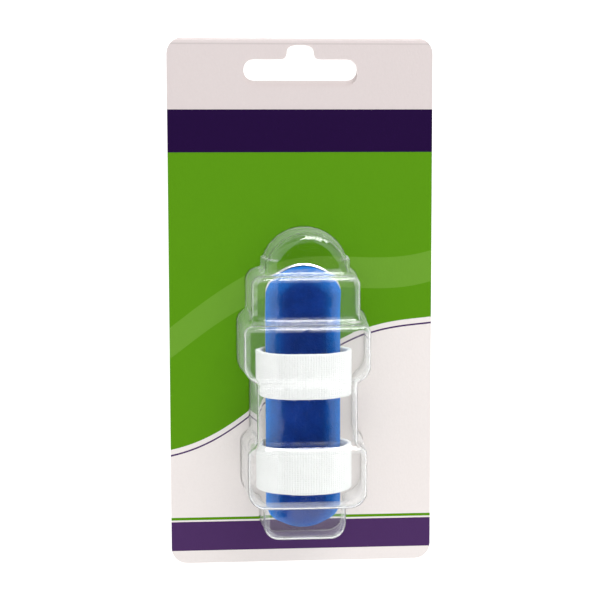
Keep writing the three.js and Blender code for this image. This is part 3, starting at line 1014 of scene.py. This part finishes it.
def band_material(bands):
    """Napped loop fabric: knitted ribs across the band, under a soft tangle of loops."""
    material, tree = new_material("white_loop_fabric")
    place = millimetres(tree)
    weave = node(tree, "ShaderNodeAttribute", attribute_name="weave").outputs["Vector"]
    along = node(tree, "ShaderNodeSeparateXYZ", {0: weave}).outputs
    turn = math_node(tree, "MULTIPLY", along[0], 2 * math.pi / bands.rib)
    ribs = math_node(tree, "MULTIPLY_ADD", math_node(tree, "COSINE", turn), -0.5, 0.5)
    rows = math_node(tree, "MULTIPLY", along[1], 2 * math.pi / ROW_SPACING)
    rows = math_node(tree, "MULTIPLY_ADD", math_node(tree, "COSINE", rows), 0.5, 0.5)
    knit = math_node(tree, "MULTIPLY_ADD", rows, 0.3, math_node(tree, "MULTIPLY", ribs, 0.6))
    tangle = grain(tree, place, 2.6, 8)
    patches = grain(tree, place, 0.25, 3)
    nap = math_node(tree, "MULTIPLY_ADD", tangle, 0.8, knit)
    # Painted shade: the fabric is darkened down to 0.94 where its ribs and loops sink.
    rib_shade = ranged(tree, nap, (0.1, 1.3), (0.94, 1.0))
    dull = tuple(c * 0.97 for c in bands.colour[:3]) + (1,)
    colour = mix_colour(tree, patches, dull, bands.colour)
    finish(
        tree,
        Base_Color=scaled(tree, colour, rib_shade),
        Roughness=0.95,
        Sheen_Weight=0.3,
        Sheen_Roughness=0.6,
        Normal=bump(tree, nap, 0.00012, 0.8),
    )
    return material


def hook_material(bands):
    """Moulded hook tape: rows of small hooks on a plain backing."""
    material, tree = new_material("white_hook_tape")
    place = millimetres(tree)
    parts = node(tree, "ShaderNodeSeparateXYZ", {0: place}).outputs
    rows, hooks = (
        math_node(tree, "SINE", math_node(tree, "MULTIPLY", part, 2 * math.pi / spacing))
        for part, spacing in zip(parts, HOOK_SPACING)
    )
    heads = math_node(tree, "MAXIMUM", math_node(tree, "MULTIPLY", rows, hooks), 0.0)
    uneven = grain(tree, place, 1.2, 4, lowest=0.9, highest=1.0)
    base = tuple(c * 0.92 for c in bands.colour[:3])
    finish(
        tree,
        Base_Color=scaled(tree, base, uneven),
        Roughness=grain(tree, place, 0.8, 3, lowest=0.5, highest=0.7),
        Normal=bump(tree, heads, 0.0002, 0.8),
    )
    return material


def blister_material():
    """Clear formed plastic, a little uneven and hazy where it is seen along its walls."""
    material, tree = new_material("clear_formed_plastic")
    place = millimetres(tree)
    flow = grain(tree, place, 0.07, 2)
    smudge = grain(tree, place, 0.3, 5, lowest=0.02, highest=0.07)
    shader, output = finish(
        tree,
        Base_Color=(0.985, 0.992, 0.99, 1),
        Roughness=smudge,
        IOR=1.43,
        Transmission_Weight=1.0,
        Normal=bump(tree, flow, 0.0003, 0.15),
    )
    path = node(tree, "ShaderNodeLightPath").outputs
    soft = math_node(tree, "MAXIMUM", path["Is Shadow Ray"], path["Is Diffuse Ray"])
    clear = node(tree, "ShaderNodeBsdfTransparent", {0: (0.97, 0.98, 0.98, 1)})
    milk = node(tree, "ShaderNodeBsdfDiffuse", {0: (0.9, 0.92, 0.92, 1)})
    facing = node(tree, "ShaderNodeLayerWeight", {"Blend": 0.5}).outputs["Facing"]
    bent = node(tree, "ShaderNodeAttribute", attribute_name="bent").outputs["Fac"]
    patchy = grain(tree, place, 0.5, 3, lowest=0.03, highest=0.19)
    whitened = math_node(tree, "MULTIPLY", bent, patchy)
    haze = math_node(tree, "MULTIPLY_ADD", math_node(tree, "POWER", facing, 3.0), 0.28, whitened)
    hazy = node(
        tree, "ShaderNodeMixShader", {0: haze, 1: shader.outputs[0], 2: milk.outputs[0]}
    )
    mixed = node(
        tree, "ShaderNodeMixShader", {0: soft, 1: hazy.outputs[0], 2: clear.outputs[0]}
    )
    tree.links.new(mixed.outputs[0], output.inputs["Surface"])
    return material


# The stage


def add_floor(scene, half):
    """A pale matt floor that stays pale into the distance."""
    mesh = bpy.data.meshes.new("floor")
    corners = [(-half, -half, 0), (half, -half, 0), (half, half, 0), (-half, half, 0)]
    mesh.from_pydata(corners, [], [(0, 1, 2, 3)])
    floor = bpy.data.objects.new("floor", mesh)
    floor.location.z = -0.2 * MM
    scene.collection.objects.link(floor)
    material, tree = new_material("pale_floor")
    finish(
        tree,
        Base_Color=(0.45, 0.45, 0.45, 1),
        Roughness=0.9,
        Emission_Color=(1, 1, 1, 1),
        Emission_Strength=0.75,
    )
    mesh.materials.append(material)


def studio_world():
    """A studio that glows round the horizon, dark overhead and pale behind the floor."""
    world = bpy.data.worlds.new("studio")
    world.use_nodes = True
    tree = world.node_tree
    sky = node(tree, "ShaderNodeTexCoord").outputs["Generated"]
    rise = node(tree, "ShaderNodeSeparateXYZ", {0: sky}).outputs[2]
    glow = ranged(tree, rise, (0.0, 0.8), (0.6, 0.0))
    seen = node(tree, "ShaderNodeLightPath").outputs["Is Camera Ray"]
    strength = math_node(tree, "MAXIMUM", glow, seen)
    background = tree.nodes["Background"].inputs
    background["Color"].default_value = (0.85, 0.85, 0.85, 1)
    tree.links.new(strength, background["Strength"])
    return world


def add_lamp(scene, name, place, aim, width, height, power, lights_matt):
    """A soft rectangular lamp that the camera doesn't see."""
    lamp = bpy.data.lights.new(name, "AREA")
    lamp.shape = "RECTANGLE"
    lamp.size, lamp.size_y, lamp.energy = width, height, power
    light = bpy.data.objects.new(name, lamp)
    light.location = place
    aim_at = Vector(aim) - Vector(place)
    light.rotation_euler = aim_at.to_track_quat("-Z", "Y").to_euler()
    light.visible_camera = False
    light.visible_diffuse = lights_matt
    scene.collection.objects.link(light)


def add_camera(scene):
    """The camera in front of the card, a little above its middle."""
    lens = bpy.data.cameras.new("camera")
    lens.sensor_fit = "HORIZONTAL"
    lens.angle = 2 * math.atan(CAMERA_SPREAD)
    lens.clip_start = 0.01
    camera = bpy.data.objects.new("camera", lens)
    back = -Vector(CAMERA_AIM).normalized()
    right = Vector(CAMERA_UP).cross(back).normalized()
    up = back.cross(right)
    turned = Matrix((right, up, back)).transposed().to_4x4()
    camera.matrix_world = Matrix.Translation(CAMERA_PLACE) @ turned
    scene.collection.objects.link(camera)
    scene.camera = camera


# Operators


class SPLINT_OT_card(Operator):
    """Prints the folded card and softens its cut edges"""

    bl_idname = "splint.card"
    bl_label = "Card"

    def execute(self, context):
        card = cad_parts["card"]
        dress(card, card_material(context.scene.splint_pack.card))
        soften(card, 0.08)
        return {"FINISHED"}


class SPLINT_OT_metal(Operator):
    """Builds the aluminium gutter with its rounded rim"""

    bl_idname = "splint.metal"
    bl_label = "Metal"

    def execute(self, context):
        splint = context.scene.splint_pack.splint
        outer = splint.radius
        points, faces, _ = gutter_slab(
            splint, outer, outer - splint.metal, METAL_HALF_ANGLE, 0, (0.25, 0.25), 41
        )
        material = metal_material(splint)
        add_piece("metal_gutter", points, faces, material, "bare_aluminium", ["splint_shell"])
        return {"FINISHED"}


class SPLINT_OT_foam(Operator):
    """Builds the foam lining with its soft cut edges"""

    bl_idname = "splint.foam"
    bl_label = "Foam Lining"

    def execute(self, context):
        pack = context.scene.splint_pack
        splint = pack.splint
        outer = splint.radius - splint.metal - BOND_GAP
        points, faces, cut = gutter_slab(
            splint,
            outer,
            outer - splint.foam,
            FOAM_HALF_ANGLE,
            FOAM_END_INSET,
            rounds=(0.2, 2.0),
            columns=61,
            waver=0.06,
            seed=pack.seed,
        )
        material = foam_material(splint)
        lining = add_piece(
            "foam_lining", points, faces, material, "blue_foam", ["foam_liner"], cut=cut
        )
        return {"FINISHED"}


class SPLINT_OT_bands(Operator):
    """Builds the two closed hook-and-loop bands"""

    bl_idname = "splint.bands"
    bl_label = "Bands"

    def execute(self, context):
        pack = context.scene.splint_pack
        material = band_material(pack.bands)
        for name, middle, seed in (
            ("upper_band", pack.bands.upper, pack.seed),
            ("lower_band", pack.bands.lower, pack.seed + 11),
        ):
            points, faces, weave = band_mesh(pack.bands, middle, pack.splint.offset, seed)
            add_piece(
                f"{name}_loop", points, faces, material, "white_loop", [name], weave=weave
            )
        return {"FINISHED"}


class SPLINT_OT_patches(Operator):
    """Gives the imported hook patches under the metal their finish and softens their edges"""

    bl_idname = "splint.patches"
    bl_label = "Hook Patches"

    def execute(self, context):
        material = hook_material(context.scene.splint_pack.bands)
        for name in ("upper_hook_patch", "lower_hook_patch"):
            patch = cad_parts[name]
            dress(patch, material)
            soften(patch, 0.12)
        return {"FINISHED"}


class SPLINT_OT_blister(Operator):
    """Builds the clear blister as one smooth thin shell"""

    bl_idname = "splint.blister"
    bl_label = "Blister"

    def execute(self, context):
        points, faces, bent = blister_mesh(context.scene.splint_pack.blister)
        material = blister_material()
        add_piece("clear_shell", points, faces, material, "clear_plastic", ["blister"], bent=bent)
        return {"FINISHED"}


class SPLINT_OT_stage(Operator):
    """Adds the pale floor, the soft lights and the camera"""

    bl_idname = "splint.stage"
    bl_label = "Stage"

    def execute(self, context):
        scene = context.scene
        add_floor(scene, scene.splint_pack.floor_size / 2)
        scene.world = studio_world()
        scene.view_settings.view_transform = "Standard"
        for panel in PANELS:
            add_lamp(scene, *panel)
        add_camera(scene)
        return {"FINISHED"}


class SPLINT_PT_pack(Panel):
    """Lists the pieces of the pack"""

    bl_idname = "SPLINT_PT_pack"
    bl_label = "Finger Splint Pack"
    bl_space_type = "VIEW_3D"
    bl_region_type = "UI"
    bl_category = "Splint"

    def draw(self, context):
        pack = context.scene.splint_pack
        for operator in PIECE_OPERATORS:
            self.layout.operator(operator.bl_idname)
        for group in (pack.splint, pack.bands, pack.blister, pack.card):
            box = self.layout.box()
            for name in group.bl_rna.properties.keys():
                if name not in ("rna_type", "name"):
                    box.prop(group, name)
        self.layout.prop(pack, "floor_size")
        self.layout.prop(pack, "seed")


PIECE_OPERATORS = (
    SPLINT_OT_card,
    SPLINT_OT_metal,
    SPLINT_OT_foam,
    SPLINT_OT_bands,
    SPLINT_OT_patches,
    SPLINT_OT_blister,
    SPLINT_OT_stage,
)
CLASSES = (
    SplintSettings,
    BandSettings,
    BlisterSettings,
    PrintSettings,
    PackSettings,
    *PIECE_OPERATORS,
    SPLINT_PT_pack,
)


def register():
    """Registers the classes and the scene's settings."""
    for cls in CLASSES:
        bpy.utils.register_class(cls)
    bpy.types.Scene.splint_pack = PointerProperty(type=PackSettings)


def unregister():
    """Takes the settings and the classes out again."""
    del bpy.types.Scene.splint_pack
    for cls in reversed(CLASSES):
        bpy.utils.unregister_class(cls)


def main():
    """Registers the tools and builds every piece."""
    register()
    for operator in PIECE_OPERATORS:
        group, name = operator.bl_idname.split(".")
        getattr(getattr(bpy.ops, group), name)()


if __name__ == "__main__":
    main()
